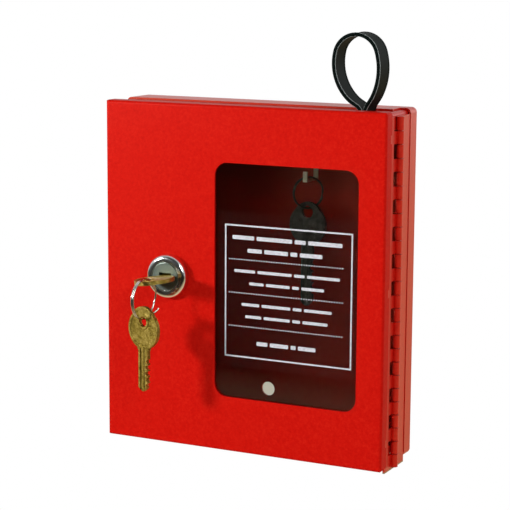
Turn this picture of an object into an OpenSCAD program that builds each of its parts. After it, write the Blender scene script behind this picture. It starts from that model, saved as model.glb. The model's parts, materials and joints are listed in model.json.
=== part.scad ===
// Wall key box with a hinged, glazed door, a cam lock and hanging keys. Millimetres.
// X to the right (hinge side +X), front faces -Y, wall plane at Y = 0, Z up.
// Origin: centre of the two wall screw holes, on the back face.

/* [Case] */
// Door and case width
case_w = 147; // [134:1:200]
// Door and case height
case_h = 167; // [150:1:240]
// Depth from the wall to the door face
case_d = 38; // [36:1:60]
// Sheet thickness
sheet = 1.0; // [0.8:0.1:1.4]
// Depth of the rear pan's long flanges
pan_lip = 17; // [10:0.5:22]
// Depth of the rear pan's flange beside the hinge
pan_side_lip = 7.5; // [4:0.5:9]
// Outer corner radius of the rear pan
pan_r = 2.5; // [2:0.5:8]
// How far the case's top and bottom sit inside the door's edges
case_low = 1.1; // [0:0.1:1.6]
// Width of the return flange round the door opening
jamb_w = 8; // [5:0.5:12]

/* [Door] */
// Depth of the door's flange
door_lip = 6.5; // [5:0.5:9]
// Gap between the door's flange and the case
door_gap = 1.0; // [0.6:0.1:2]
// Bend radius of the door's edges
bend_r = 0.6; // [0.5:0.1:2]
// Corner radius of the door seen from the front
door_r = 1.5; // [1:0.5:5]
// Weld notches in the hinge flange, from the door's ends
weld_in = 12.5; // [8:0.5:30]
// Length of a weld notch
weld_l = 3.8; // [2:0.2:6]

/* [Window] */
// Window width
window_w = 74; // [50:1:86]
// Window height
window_h = 113; // [80:1:128]
// Window corner radius
window_r = 6.5; // [3:0.5:12]
// Window from the door's hinge edge
window_in = 13.2; // [11:0.2:20]
// Pane thickness
pane_t = 2.0; // [1:0.1:2.5]
// How far the pane runs under the door on each side
pane_lap = 4; // [3:0.5:4.5]
// Printed film from the window's left edge
film_left = 1.8; // [0:0.1:20]
// Printed film from the window's right edge
film_right = 0.2; // [0:0.1:20]
// Height of the printed film
film_h = 75; // [30:1:78]
// Film centre above the door's middle
film_z = -4; // [-4:1:4]
// Film thickness
film_t = 0.15; // [0.1:0.05:0.3]
// Width of the pane channels' welded flange
chan_w = 5.5; // [4:0.5:7]
// Thickness of the pane channels and the clip
chan_t = 0.8; // [0.6:0.1:1]
// Side channels end short of the pane's corners by
chan_in = 8; // [6:0.5:20]
// Bottom channel ends short of the window's sides by
chan_side = 5; // [4:0.5:20]
// Width of the pane clip
clip_w = 18; // [12:1:40]

/* [Hinge] */
// Knuckle length
knuckle = 6.35; // [5:0.05:12.7]
// Gap between knuckles
knuckle_gap = 0.5; // [0.2:0.05:1]
// Barrel diameter
barrel_d = 3.6; // [3.4:0.1:5]
// Pin diameter
pin_d = 2.0; // [1.6:0.1:2.2]
// Depth of the knuckle notches beyond the barrel
notch_in = 3.4; // [1:0.2:4]
// Leaf thickness
leaf_t = 0.9; // [0.7:0.1:1.2]
// Barrel axis behind the door face
barrel_y = 16.5; // [15:0.5:18]
// How far the hinge ends below the door's top edge
hinge_top = 2.8; // [1.5:0.1:6]
// How far the hinge runs past the door's bottom edge
hinge_drop = 2.2; // [1.6:0.1:3]

/* [Lock] */
// Gap between the lock nut and the pane channel
lock_gap = 2.3; // [1:0.1:8]
// Lock nut across its corners
nut_d = 25.4; // [23:0.2:27]
// Bezel diameter
bezel_d = 21.4; // [20:0.1:26]
// Bezel height over the door
bezel_h = 4.6; // [3:0.1:7]
// Threaded body diameter
lock_d = 19; // [16:0.5:19]
// Threaded body across its flats
lock_flat = 16; // [15:0.5:17]
// How far the key rests from level
rest_turn = 7; // [0:1:10]
// Body length behind the door face
lock_l = 19; // [18:0.5:21]
// Plug diameter
plug_d = 12.6; // [11:0.1:13]
// Gap between the cam's tip and the case wall
cam_gap = 3.2; // [2:0.1:5]
// Width of the cam's arm
cam_w = 12; // [8:0.5:14]
// Cam thickness
cam_t = 1.6; // [1.2:0.1:2.5]
// Height of the strike plate
strike_h = 24; // [16:1:40]
// Reach of the strike plate's lip
strike_lip = 8.5; // [6:0.5:10]
// Depth of the strike plate on the wall
strike_d = 13; // [8:0.5:16]

/* [Keys] */
// Key thickness
key_t = 1.9; // [1.5:0.1:2.2]
// Width of the cut blade
blade_w = 6.1; // [5:0.1:7]
// Blade length from the shoulder
blade_l = 20.0; // [18.5:0.1:20.2]
// First cut from the shoulder
first_cut = 5.3; // [3.4:0.1:5.5]
// Width of the key's bow
bow_w = 19.2; // [17:0.2:21]
// Shank between the bow and the shoulder
neck_l = 1.0; // [0.8:0.1:5]
// Hole in the key bow
bow_hole = 4.8; // [4.6:0.1:5.2]
// Outside diameter of the key ring
ring_d = 20; // [20:0.2:24]
// Ring wire diameter
ring_wire = 1.0; // [0.9:0.05:1.2]
// Outside diameter of the ring inside the case
small_ring_d = 16; // [15:0.5:22]
// Hole in the stored key's bow
stored_hole = 6; // [5.6:0.1:6.4]
// Blade length of the stored key
stored_l = 29.5; // [24:0.5:40]
// Hook arm below the door's top edge
hook_down = 36; // [30:0.5:50]
// Hook from the door's hinge edge
hook_in = 51; // [40:0.5:70]
// Width of the hook
hook_w = 2.2; // [1.8:0.1:3]
// Reach of the hook from the wall
hook_l = 14; // [13:0.5:20]

/* [Strap] */
// Strap width
strap_w = 12; // [8:0.5:12]
// Strap thickness
strap_t = 1.8; // [1:0.1:2.5]
// Width of the loop
loop_w = 23; // [16:0.5:34]
// Height of the loop over the case
loop_h = 36.1; // [24:0.1:50]
// Strap from the door's right edge
strap_in = 16; // [12:0.5:40]
// Lean of the loop to the left
loop_lean = 3.9; // [0:0.1:8]

/* [Mounting] */
// Wall screw hole diameter
hole_d = 7; // [4:0.1:9]
// Distance between the two holes
hole_pitch = 120; // [80:1:180]
// Case centre to the right of the screw line
case_shift = 2.5; // [-6:0.1:6]

/* [Hidden] */
$fn = 96;
eps = 0.01;
red = [0.82, 0.1, 0.08];
steel = [0.7, 0.7, 0.72];
brass = [0.78, 0.62, 0.3];

// door edges in the part's frame
xl = case_shift - case_w / 2;
xr = case_shift + case_w / 2;
zb = -case_h / 2;
zt = case_h / 2;
yf = -case_d;
shell_y = yf + door_lip + door_gap;

// strap: teardrop loop in the X-Z plane, legs side by side through a slot
shell_z = case_h / 2 - case_low;
strap_x = xr - strap_in;
strap_y0 = shell_y + sheet + 0.5;
leg_in = 12;
loop_r = loop_w / 2;
loop_cx = strap_x - loop_lean;
loop_cz = shell_z + loop_h - loop_r;
neck_z = shell_z + 2.5;
pan_y0 = max(-pan_lip, strap_y0 + strap_w + 0.2);

// case shell outer faces: left, right, half height
shell_l = xl + 0.6;
shell_r = xr - sheet - leaf_t - 0.3;
pan_l = shell_l - sheet;
pan_ro = xr - sheet + 0.3;
pan_z = shell_z + sheet;

// hinge
leaf_x = xr - sheet - leaf_t;
barrel_x = leaf_x + barrel_d / 2;
barrel_yy = yf + barrel_y;
hinge_z0 = zb - hinge_drop;
hinge_z1 = zt - hinge_top;
hinge_n = floor((hinge_z1 - hinge_z0) / knuckle);
barrel_z0 = hinge_z1 - hinge_n * knuckle;

// window and pane
wx = xr - window_in - window_w / 2;
pane_x0 = wx - window_w / 2 - pane_lap;
pane_x1 = wx + window_w / 2 + pane_lap;
pane_z = window_h / 2 + pane_lap;
pane_y = yf + sheet;

// lock
lx = pane_x0 - chan_w - lock_gap - nut_d / 2;
cam_l = lx - (shell_l + sheet) - cam_gap;
seat_y = yf - bezel_h + 0.6;
face_y = seat_y - 0.55;
shoulder_y = face_y - 0.15;
plug_back = yf + lock_l + 1.2;
wafer_pitch = 2.9;
wafer_t = 0.8;
slot_t = 0.9;
wafer_y0 = shoulder_y + first_cut - slot_t / 2;
cam_y = plug_back + 0.1;

// key in the lock
bow_r = bow_w / 2;
bow_c = neck_l + 9;
hole_c = bow_c + 3.6;
hole_y = shoulder_y - hole_c;

// split ring, in a plane turned from X about Z
ring_turn = 85;
ring_r = ring_d / 2 - ring_wire / 2;
ring_tilt = 53.5;
ring_low = (ring_r - 0.25) * sin(ring_tilt);
ring_u = (ring_r - 0.25) * cos(ring_tilt);
ring_cx = lx - ring_u * cos(ring_turn);
ring_cy = hole_y - ring_u * sin(ring_turn);
ring_cz = -ring_low;
hang_z = ring_cz - ring_r - (bow_hole - ring_wire) / 2 + 0.4;

// inside
in_x = xr - hook_in;
arm_z = zt - hook_down;
stored_turn = 47;
stored_open = 50;
stored_hole_c = bow_c + 6.2;
stored_bite = [1.4, 0.8, 2.0, 1.2, 1.7, 0.9, 1.5];
stored_r = small_ring_d / 2 - ring_wire / 2;
stored_y = -hook_l + 4;
// the ring rests on the arm's two edges
stored_c = (hook_w / 2 + ring_wire * sin(stored_turn)) / cos(stored_turn);
stored_z = arm_z - sqrt(pow(stored_r - ring_wire / 2, 2) - stored_c * stored_c) + 0.05;

module rsq(w, h, r) {
  square([w - 2 * r, h], center = true);
  square([w, h - 2 * r], center = true);
  for (x = [-1, 1], z = [-1, 1])
    translate([x * (w / 2 - r), z * (h / 2 - r)]) circle(r);
}

// plate in the X-Z plane with its outline from the front, from y0 to y1
module xz(y0, y1) {
  translate([0, y1, 0]) rotate([90, 0, 0]) linear_extrude(y1 - y0) children();
}

// cylinder along Y
module ycyl(x, z, y0, y1, d) {
  translate([x, y1, z]) rotate([90, 0, 0]) cylinder(d = d, h = y1 - y0);
}

module at_box(x0, x1, z0, z1) {
  translate([(x0 + x1) / 2, (z0 + z1) / 2]) children();
}

module rbox(x0, x1, z0, z1, y0, y1, r) {
  xz(y0, y1) at_box(x0, x1, z0, z1) rsq(x1 - x0, z1 - z0, r);
}

module back_pan() {
  color(red) difference() {
    rbox(pan_l, pan_ro, -pan_z, pan_z, pan_y0, 0, pan_r);
    rbox(pan_l + sheet, pan_ro - sheet, -pan_z + sheet, pan_z - sheet, pan_y0 - 1, -sheet,
      max(pan_r - sheet, 0.4));
    // short flange beside the hinge
    translate([xr - 6, pan_y0 - 1, -pan_z - 1])
      cube([10, -pan_y0 - pan_side_lip + 1, 2 * pan_z + 2]);
    for (z = [-1, 1]) ycyl(0, z * hole_pitch / 2, -sheet - 1, 1, hole_d);
  }
}

module case_shell() {
  w0 = shell_l;
  w1 = shell_r;
  r = max(pan_r - sheet, 0.4);
  color(red) difference() {
    rbox(w0, w1, -shell_z, shell_z, shell_y, -sheet, r);
    rbox(w0 + sheet, w1 - sheet, -shell_z + sheet, shell_z - sheet, shell_y + sheet, 0,
      max(r - sheet, 0.3));
    // door opening
    rbox(w0 + jamb_w, w1 - jamb_w, -shell_z + jamb_w, shell_z - jamb_w, shell_y - 1,
      shell_y + sheet + 1, 3);
    // the wall on the hinge side starts behind the barrel
    translate([w1 - jamb_w - 1, shell_y - 1, -shell_z + jamb_w])
      cube([jamb_w + 2, barrel_yy + barrel_d / 2 + 0.4 - shell_y + 1, 2 * (shell_z - jamb_w)]);
    // strap slot
    translate([strap_x - strap_t - 0.3, strap_y0 - 0.3, shell_z - sheet - 1])
      cube([2 * strap_t + 0.6, strap_w + 0.6, sheet + 2]);
  }
}

// hinge leaf: plate, barrel, odd or even knuckles kept
module leaf(y0, y1, x0, z0, z1, keep) {
  difference() {
    union() {
      translate([x0, y0, z0]) cube([leaf_x + leaf_t - x0, y1 - y0, z1 - z0]);
      translate([barrel_x, barrel_yy, barrel_z0])
        cylinder(d = barrel_d, h = hinge_z1 - barrel_z0);
    }
    translate([barrel_x, barrel_yy, hinge_z0 - 1])
      cylinder(d = pin_d + 0.08, h = hinge_z1 - hinge_z0 + 2);
    for (i = [0 : hinge_n - 1])
      if ((i % 2) != keep)
        translate([x0 - 1, barrel_yy - barrel_d / 2 - notch_in,
          hinge_z1 - (i + 1) * knuckle - knuckle_gap / 2])
          cube([barrel_d + 4, barrel_d + 2 * notch_in, knuckle + knuckle_gap]);
  }
}

module hinge_door_leaf() {
  color(red) difference() {
    union() {
      leaf(yf + sheet + 1.5, barrel_yy, leaf_x, zb + sheet + 0.8, hinge_z1, 1);
      leaf(yf + door_lip + 0.3, barrel_yy, leaf_x, hinge_z0, hinge_z1, 1);
    }
    weld_notches(leaf_x - 1);
  }
}

module hinge_case_leaf() {
  color(red) leaf(barrel_yy, -pan_side_lip - 0.2, shell_r, hinge_z0, hinge_z1, 0);
}

module hinge_pin() {
  color(red) translate([barrel_x, barrel_yy, barrel_z0 + 0.5])
    cylinder(d = pin_d, h = hinge_z1 - barrel_z0 - 1);
}

// door skin: three prisms crossed, so that each edge has its bend
module skin(g, y0, y1) {
  r = bend_r + sheet - g;
  intersection() {
    rbox(xl + g, xr - g, zb + g, zt - g, y0, y1, door_r - g / 2);
    translate([xl - 5, 0, 0]) rotate([90, 0, 90]) linear_extrude(case_w + 10)
      translate([y0 + 20, 0]) rsq(40, case_h - 2 * g, r);
    translate([0, 0, zb - 5]) linear_extrude(case_h + 10)
      translate([(xl + xr) / 2, y0 + 20]) rsq(case_w - 2 * g, 40, r);
  }
}

module door_panel() {
  color(red) difference() {
    skin(0, yf, yf + door_lip);
    skin(sheet, yf + sheet, yf + door_lip + 5);
    rbox(wx - window_w / 2, wx + window_w / 2, -window_h / 2, window_h / 2, yf - 1, yf + 3,
      window_r);
    lock_hole(yf - 1, yf + 3, 0.15);
    weld_notches(xr - sheet - 1);
  }
}

// notches at the edge of the hinge-side flange, through to the leaf
module weld_notches(x0) {
  for (z = [zb + weld_in, 0, zt - weld_in])
    translate([x0, yf + door_lip - 1.4, z - weld_l / 2]) cube([6, 1.7, weld_l]);
}

module lock_hole(y0, y1, c) {
  intersection() {
    ycyl(lx, 0, y0, y1, lock_d + 2 * c);
    translate([lx - 20, y0, -lock_flat / 2 - c]) cube([40, y1 - y0, lock_flat + 2 * c]);
  }
}

module window_pane() {
  color([0.85, 0.93, 0.92, 0.35])
    rbox(pane_x0, pane_x1, -pane_z, pane_z, pane_y, pane_y + pane_t, 0.8);
}

module printed_film() {
  color([0.95, 0.95, 0.95, 0.5])
    rbox(wx - window_w / 2 + film_left, wx + window_w / 2 - film_right, film_z - film_h / 2,
      film_z + film_h / 2, pane_y - film_t, pane_y, 1);
}

// Z-section that holds a pane edge; lies along Z with the pane on its +X side
module z_section(l) {
  c = 0.1;
  y1 = pane_y + pane_t + c;
  translate([0, 0, -l / 2]) linear_extrude(l) union() {
    translate([-chan_w, pane_y]) square([chan_w - c, chan_t]);
    translate([-chan_t - c, pane_y]) square([chan_t, y1 + chan_t - pane_y]);
    translate([-chan_t - c, y1]) square([chan_t + 2.8, chan_t]);
  }
}

module channel_left() {
  color(steel) translate([pane_x0, 0, 0]) z_section(2 * (pane_z - chan_in));
}

module channel_right() {
  color(steel) translate([pane_x1, 0, 0]) mirror([1, 0, 0]) z_section(2 * (pane_z - chan_in));
}

module channel_bottom() {
  color(steel) translate([wx, 0, -pane_z]) rotate([0, -90, 0])
    z_section(window_w - 2 * chan_side);
}

clip_x = wx;
clip_z = pane_z + 5;

module pane_clip() {
  y1 = pane_y + pane_t + 0.1;
  color(steel) difference() {
    union() {
      translate([clip_x - clip_w / 2, y1, pane_z - 4]) cube([clip_w, chan_t, 5]);
      translate([clip_x - clip_w / 2, pane_y, pane_z + 0.2])
        cube([clip_w, y1 - pane_y + chan_t, chan_t]);
      translate([clip_x - clip_w / 2, pane_y, pane_z + 0.2]) cube([clip_w, chan_t, 9.4]);
    }
    ycyl(clip_x, clip_z, pane_y - 1, pane_y + 2, 3.3);
  }
}

module clip_stud() {
  color(steel) ycyl(clip_x, clip_z, pane_y, pane_y + 4.2, 3);
}

module clip_nut() {
  y0 = pane_y + chan_t;
  color(steel) difference() {
    translate([clip_x, y0 + 2.4, clip_z]) rotate([90, 0, 0]) cylinder(d = 6.3, h = 2.4, $fn = 6);
    ycyl(clip_x, clip_z, y0 - 1, y0 + 4, 3.05);
  }
}

module lock_body() {
  color(steel) difference() {
    union() {
      translate([lx, yf, 0]) rotate([90, 0, 0]) rotate_extrude() bezel_profile();
      lock_hole(yf - 0.2, yf + lock_l, 0);
    }
    ycyl(lx, 0, yf - bezel_h - 1, yf + lock_l + 1, plug_d + 0.1);
  }
}

// chrome bezel: straight foot, domed rim, dished inside down to the plug
module bezel_profile() {
  r = bezel_d / 2;
  rim = 2.2;
  difference() {
    union() {
      square([r, bezel_h - rim]);
      square([r - rim, bezel_h]);
      translate([r - rim, bezel_h - rim]) circle(rim);
    }
    translate([0, bezel_h - 0.6]) square([plug_d / 2 + 0.4, 2]);
    translate([plug_d / 2 + 0.4, bezel_h]) circle(0.6);
    translate([-1, -3]) square([r + 2, 3]);
    translate([-r, -1]) square([r, bezel_h + 2]);
  }
}

module lock_washer() {
  color(steel) difference() {
    ycyl(lx, 0, yf + sheet, yf + sheet + 0.6, nut_d - 0.4);
    lock_hole(yf, yf + 4, 0.1);
  }
}

module lock_nut() {
  color(steel) difference() {
    translate([lx, yf + sheet + 3.1, 0]) rotate([90, 0, 0])
      cylinder(d = nut_d, h = 2.5, $fn = 6);
    ycyl(lx, 0, yf + sheet, yf + sheet + 5, lock_d + 0.1);
  }
}

module at_lock() {
  translate([lx, 0, 0]) rotate([0, -rest_turn, 0]) children();
}

module keyway(c) {
  translate([-blade_w / 2 - c, face_y - 1, -key_t / 2 - c])
    cube([blade_w + 2 * c, blade_l + 2, key_t + 2 * c]);
}

module wafer_shape(g) {
  // outline across the plug: a plate and its spring ear
  intersection() {
    circle(plug_d / 2 - 0.15 + g / 2);
    union() {
      square([20, 6.2 + 2 * g], center = true);
      translate([-2 - g, -5.1 - g]) square([1.7 + 2 * g, 4 + g]);
    }
  }
}

module lock_plug() {
  color(steel) difference() {
    at_lock() union() {
      ycyl(0, 0, face_y, plug_back, plug_d);
      ycyl(0, 0, face_y, seat_y - 0.02, plug_d + 0.7);
      // square drive for the cam
      translate([-3.5, plug_back - 0.5, -3.5]) cube([7, cam_t + 0.5, 7]);
    }
    at_lock() {
      keyway(0.12);
      for (i = [0 : 4]) translate([0, wafer_y0 + i * wafer_pitch, 0]) {
        xz(0, slot_t) wafer_shape(0.08);
        // spring pocket
        translate([-0.2, 0, -5]) cube([3.5, slot_t, 1.8]);
      }
      ycyl(0, 0, plug_back - 3.4, plug_back + 4, 3);
    }
  }
}

module wafer(i) {
  color(brass) at_lock() translate([0, wafer_y0 + i * wafer_pitch + (slot_t - wafer_t) / 2, 0])
    xz(0, wafer_t) difference() {
      wafer_shape(0);
      square([blade_w + 0.3, key_t + 0.3], center = true);
    }
}

module wafer_1() { wafer(0); }
module wafer_2() { wafer(1); }
module wafer_3() { wafer(2); }
module wafer_4() { wafer(3); }
module wafer_5() { wafer(4); }

module wafer_springs() {
  color(steel) for (i = [0 : 4])
    at_lock() translate([-0.15, wafer_y0 + i * wafer_pitch + slot_t / 2, -4.1])
      rotate([0, 90, 0]) linear_extrude(3.3, twist = -360 * 4, slices = 32, $fn = 6)
        translate([0.28, 0]) circle(0.12, $fn = 5);
}

module lock_cam() {
  color(steel) at_lock() difference() {
    xz(cam_y, cam_y + cam_t) difference() {
      union() {
        circle(8);
        translate([-cam_w / 2, 0]) square([cam_w, cam_l - cam_w / 2]);
        translate([0, cam_l - cam_w / 2]) circle(cam_w / 2);
      }
      square(7.1, center = true);
    }
  }
}

module cam_washer() {
  color(steel) at_lock() difference() {
    ycyl(0, 0, cam_y + cam_t + 0.1, cam_y + cam_t + 0.9, 11);
    ycyl(0, 0, cam_y, cam_y + cam_t + 4, 3.3);
  }
}

module cam_screw() {
  y0 = cam_y + cam_t + 0.9;
  color(steel) at_lock() {
    difference() {
      ycyl(0, 0, y0, y0 + 1.8, 6.4);
      translate([-0.4, y0 + 0.8, -2.2]) cube([0.8, 2, 4.4]);
      translate([-2.2, y0 + 0.8, -0.4]) cube([4.4, 2, 0.8]);
    }
    ycyl(0, 0, plug_back - 3.3, y0 + 0.1, 2.9);
  }
}

// key blank outline: blade along -v from the shoulder, bow along +v
module blank(l, w, bite, hole, hole_at) {
  difference() {
    union() {
      translate([0, bow_c]) circle(bow_r);
      translate([0, bow_c + 3.8]) circle(7.2);
      translate([-3.6, 0]) square([7.2, bow_c]);
      difference() {
        translate([-w / 2, -l]) square([w, l + 1]);
        // tip
        translate([-w / 2, -l]) rotate(45) square([2.4, 2.4], center = true);
        translate([w / 2, -l]) rotate(45) square([3.6, 3.6], center = true);
        // cuts
        for (i = [0 : len(bite) - 1])
          translate([w / 2, -first_cut - i * wafer_pitch])
            polygon([[0.2, -1.4], [-bite[i], -0.5], [-bite[i], 0.5], [0.2, 1.4]]);
      }
    }
    translate([0, hole_at]) circle(d = hole);
  }
}

bite = [0.8, 1.4, 1.5, 0.7, 1.2];

module key_solid(l, w, bites, hole, hole_at) {
  difference() {
    linear_extrude(key_t, center = true) blank(l, w, bites, hole, hole_at);
    // mill groove along the blade
    translate([-w / 2 + 1.2, -l - 1, key_t / 2 - 0.5]) cube([0.9, l + 1.6, 1]);
  }
}

module lock_key() {
  color(brass) at_lock() translate([0, shoulder_y, 0]) rotate([0, 0, 180]) mirror([1, 0, 0])
    key_solid(blade_l, blade_w, bite, bow_hole, hole_c);
}

module split_ring(r) {
  // two coils of round wire lying side by side
  difference() {
    rotate_extrude() for (s = [-1, 1])
      translate([r, s * ring_wire * 0.47]) circle(d = ring_wire);
    // free ends of the coils
    for (s = [-1, 1]) rotate(s * 14) translate([r - 2, -0.2, s > 0 ? 0 : -3]) cube([4, 0.4, 3]);
  }
}

module key_ring() {
  color(steel) translate([ring_cx, ring_cy, ring_cz]) rotate([0, 0, ring_turn])
    rotate([90, 0, 0]) rotate(-60) split_ring(ring_r);
}

module hanging_key() {
  color(brass) translate([ring_cx, ring_cy, hang_z]) rotate([0, 0, ring_turn - 100])
    rotate([90, 0, 0]) translate([0, -hole_c])
      key_solid(blade_l, blade_w, bite, bow_hole, hole_c);
}

module key_hook() {
  // folded strip, welded to the back plate
  color(red) translate([in_x - hook_w / 2, 0, arm_z]) {
    translate([0, -2 * sheet, -sheet]) cube([hook_w, sheet, 15]);
    translate([0, -hook_l, -sheet]) cube([hook_w, hook_l - sheet, sheet]);
    translate([0, -hook_l, -sheet]) cube([hook_w, sheet, 5]);
  }
}

module strike_plate() {
  // angle on the latch-side wall; the cam turns in behind its lip
  x0 = shell_l + sheet;
  y0 = cam_y - 0.5 - sheet;
  color(red) {
    translate([x0, y0, -strike_h / 2]) cube([sheet, strike_d, strike_h]);
    translate([x0, y0, -strike_h / 2]) cube([strike_lip, sheet, strike_h]);
  }
}

module at_stored() {
  translate([in_x, stored_y, stored_z]) rotate([0, 0, stored_turn]) children();
}

module stored_ring() {
  color(steel) at_stored() rotate([90, 0, 0]) rotate(-75) split_ring(stored_r);
}

module stored_key() {
  z = -stored_r - (stored_hole - ring_wire) / 2 + 0.85;
  color(steel) at_stored() translate([0, 0, z]) rotate([0, 0, -stored_open])
    rotate([90, 0, 0]) translate([0, -stored_hole_c])
      key_solid(stored_l, blade_w, stored_bite, stored_hole, stored_hole_c);
}

// foot points at the neck joined by the tangents and the arc over the top
function tear(r, b) =
  let (dz = neck_z - loop_cz, dr = strap_x + b - loop_cx, dl = strap_x - b - loop_cx,
    a1 = atan2(dz, dr) + acos(r / sqrt(dr * dr + dz * dz)),
    a2 = atan2(dz, dl) - acos(r / sqrt(dl * dl + dz * dz)) + 360, n = 64)
  concat([[strap_x - b, neck_z], [strap_x + b, neck_z]],
    [for (i = [0 : n]) let (a = a1 + (a2 - a1) * i / n) [loop_cx + r * cos(a), loop_cz + r * sin(a)]]);

module hanging_strap() {
  color([0.06, 0.06, 0.07]) difference() {
    xz(strap_y0, strap_y0 + strap_w) {
      difference() {
        polygon(tear(loop_r, strap_t));
        polygon(tear(loop_r - strap_t, 0.05));
      }
      translate([strap_x - strap_t, shell_z - leg_in]) square([2 * strap_t, leg_in + 2.6]);
    }
    translate([strap_x - 5, strap_y0 + strap_w / 2, shell_z - leg_in + 5]) rotate([0, 90, 0])
      cylinder(d = 3.2, h = 10);
  }
}

module strap_rivet() {
  color(steel) translate([strap_x, strap_y0 + strap_w / 2, shell_z - leg_in + 5])
    rotate([0, 90, 0]) {
      cylinder(d = 3.1, h = 2 * strap_t + 2, center = true);
      for (s = [-1, 1]) translate([0, 0, s * (strap_t + 1.5)])
        cylinder(d = 5.4, h = 1.2, center = true);
    }
}

module strap_washers() {
  color(steel) translate([strap_x, strap_y0 + strap_w / 2, shell_z - leg_in + 5])
    rotate([0, 90, 0]) for (s = [-1, 1]) translate([0, 0, s * (strap_t + 0.45)]) difference() {
      cylinder(d = 9, h = 0.9, center = true);
      cylinder(d = 3.3, h = 3, center = true);
    }
}

back_pan();
case_shell();
hinge_case_leaf();
hinge_pin();
key_hook();
strike_plate();
hanging_strap();
strap_rivet();
strap_washers();
door_panel();
hinge_door_leaf();
window_pane();
printed_film();
channel_left();
channel_right();
channel_bottom();
pane_clip();
clip_stud();
clip_nut();
lock_body();
lock_washer();
lock_nut();
lock_plug();
wafer_1();
wafer_2();
wafer_3();
wafer_4();
wafer_5();
wafer_springs();
lock_cam();
cam_washer();
cam_screw();
lock_key();
key_ring();
hanging_key();
stored_ring();
stored_key();
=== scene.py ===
# %% [markdown]
# # A red wall key box
# The object is a small emergency key box in powder-coated sheet steel. A glazed door hangs on a
# continuous hinge, a cam lock holds its own brass key, a second key hangs on a split ring, and a
# black strap stands on top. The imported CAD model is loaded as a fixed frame, in metres. This lesson
# gives it finishes, and makes finer meshes for the pieces that the eye goes to.

# %% Load the frame and keep the CAD box
import json
import math
import bmesh
import bpy
from mathutils import Matrix, Vector


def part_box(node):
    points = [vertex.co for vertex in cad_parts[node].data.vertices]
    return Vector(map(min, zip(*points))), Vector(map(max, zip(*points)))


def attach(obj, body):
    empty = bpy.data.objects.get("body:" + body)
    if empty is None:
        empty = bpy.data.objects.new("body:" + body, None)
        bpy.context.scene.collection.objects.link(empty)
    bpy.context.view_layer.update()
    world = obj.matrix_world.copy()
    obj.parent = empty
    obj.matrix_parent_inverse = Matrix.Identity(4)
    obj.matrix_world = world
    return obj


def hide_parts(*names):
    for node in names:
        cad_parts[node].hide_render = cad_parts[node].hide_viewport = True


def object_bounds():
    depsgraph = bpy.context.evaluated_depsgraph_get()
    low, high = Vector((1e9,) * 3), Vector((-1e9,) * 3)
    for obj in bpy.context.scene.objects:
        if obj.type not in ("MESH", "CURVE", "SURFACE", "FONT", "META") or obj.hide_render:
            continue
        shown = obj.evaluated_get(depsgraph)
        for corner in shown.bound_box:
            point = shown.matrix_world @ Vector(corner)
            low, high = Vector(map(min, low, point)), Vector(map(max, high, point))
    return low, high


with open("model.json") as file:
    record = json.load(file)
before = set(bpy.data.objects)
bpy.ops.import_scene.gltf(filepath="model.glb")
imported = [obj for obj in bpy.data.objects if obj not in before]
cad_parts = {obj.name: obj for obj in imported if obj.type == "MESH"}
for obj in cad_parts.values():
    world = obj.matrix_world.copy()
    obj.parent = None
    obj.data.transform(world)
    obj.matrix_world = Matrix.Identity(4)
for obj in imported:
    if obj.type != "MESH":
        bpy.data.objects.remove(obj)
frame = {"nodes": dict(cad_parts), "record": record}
CAD_LO, CAD_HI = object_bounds()
MM = 0.001
BODY_OF = {n: b for b, names in frame["record"]["behaviour"]["bodies"].items() for n in names}
SLOT_OF = {s["node"]: s["material_slot"] for s in frame["record"]["subparts"]}

# %% [markdown]
# ## The camera
# The photograph looks at the hinge side, a little from above. The position and the lens were found
# by fitting the corners of the door and of the case, so the picture needs no shift.

# %% Camera
AZIMUTH, ELEVATION, ROLL = 26.5533, 9.7015, 0.3346
CAMERA_AT = (0.372352, -0.762371, 0.152239)
FOCAL_PIXELS, PHOTO_PIXELS, SENSOR = 1747.905, 510, 36
LENS = FOCAL_PIXELS / PHOTO_PIXELS * SENSOR


def camera_axes(azimuth, elevation, roll):
    """Right, up and forward of a camera that looks along +Y at azimuth 0."""
    a, e, r = (math.radians(v) for v in (azimuth, elevation, roll))
    forward = Vector((-math.sin(a) * math.cos(e), math.cos(a) * math.cos(e), -math.sin(e)))
    level = Vector((math.cos(a), math.sin(a), 0))
    upright = level.cross(forward)
    right = level * math.cos(r) + upright * math.sin(r)
    up = upright * math.cos(r) - level * math.sin(r)
    return right, up, forward


right, up, forward = camera_axes(AZIMUTH, ELEVATION, ROLL)
camera = bpy.data.objects.new("camera", bpy.data.cameras.new("camera"))
bpy.context.scene.collection.objects.link(camera)
turn = Matrix((right, up, -forward)).transposed().to_4x4()
camera.matrix_world = Matrix.Translation(CAMERA_AT) @ turn
camera.data.lens = LENS
camera.data.sensor_width = SENSOR
camera.data.clip_start = 0.05
bpy.context.scene.camera = camera
bpy.context.scene.view_settings.view_transform = "Standard"
print("lens", round(LENS, 2), "mm, looking along", [round(v, 3) for v in forward])

# %% [markdown]
# ## Helpers for colour, nodes and meshes
# Colours are written as sRGB hex values, as a paint chart gives them, and one function turns them
# to the linear values that Blender computes with. One function adds a node, its settings and its
# links, so that a finish reads as a short list.

# %% Helpers
def colour(hex_code, strength=1.0):
    """Linear RGBA of an sRGB hex value."""
    parts = [int(hex_code[i:i + 2], 16) / 255 for i in (1, 3, 5)]
    lin = [p / 12.92 if p <= 0.04045 else ((p + 0.055) / 1.055) ** 2.4 for p in parts]
    return [strength * p for p in lin] + [1.0]


def add(tree, kind, settings=None, **inputs):
    """A node of that kind. An input is a value, or the output socket that feeds it."""
    node = tree.nodes.new(kind)
    for key, value in (settings or {}).items():
        setattr(node, key, value)
    for key, value in inputs.items():
        index = int(key[1:]) if key[0] == "i" and key[1:].isdigit() else key.replace("_", " ")
        socket = node.inputs[index]
        if isinstance(value, bpy.types.NodeSocket):
            tree.links.new(value, socket)
        else:
            socket.default_value = value
    return node


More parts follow.
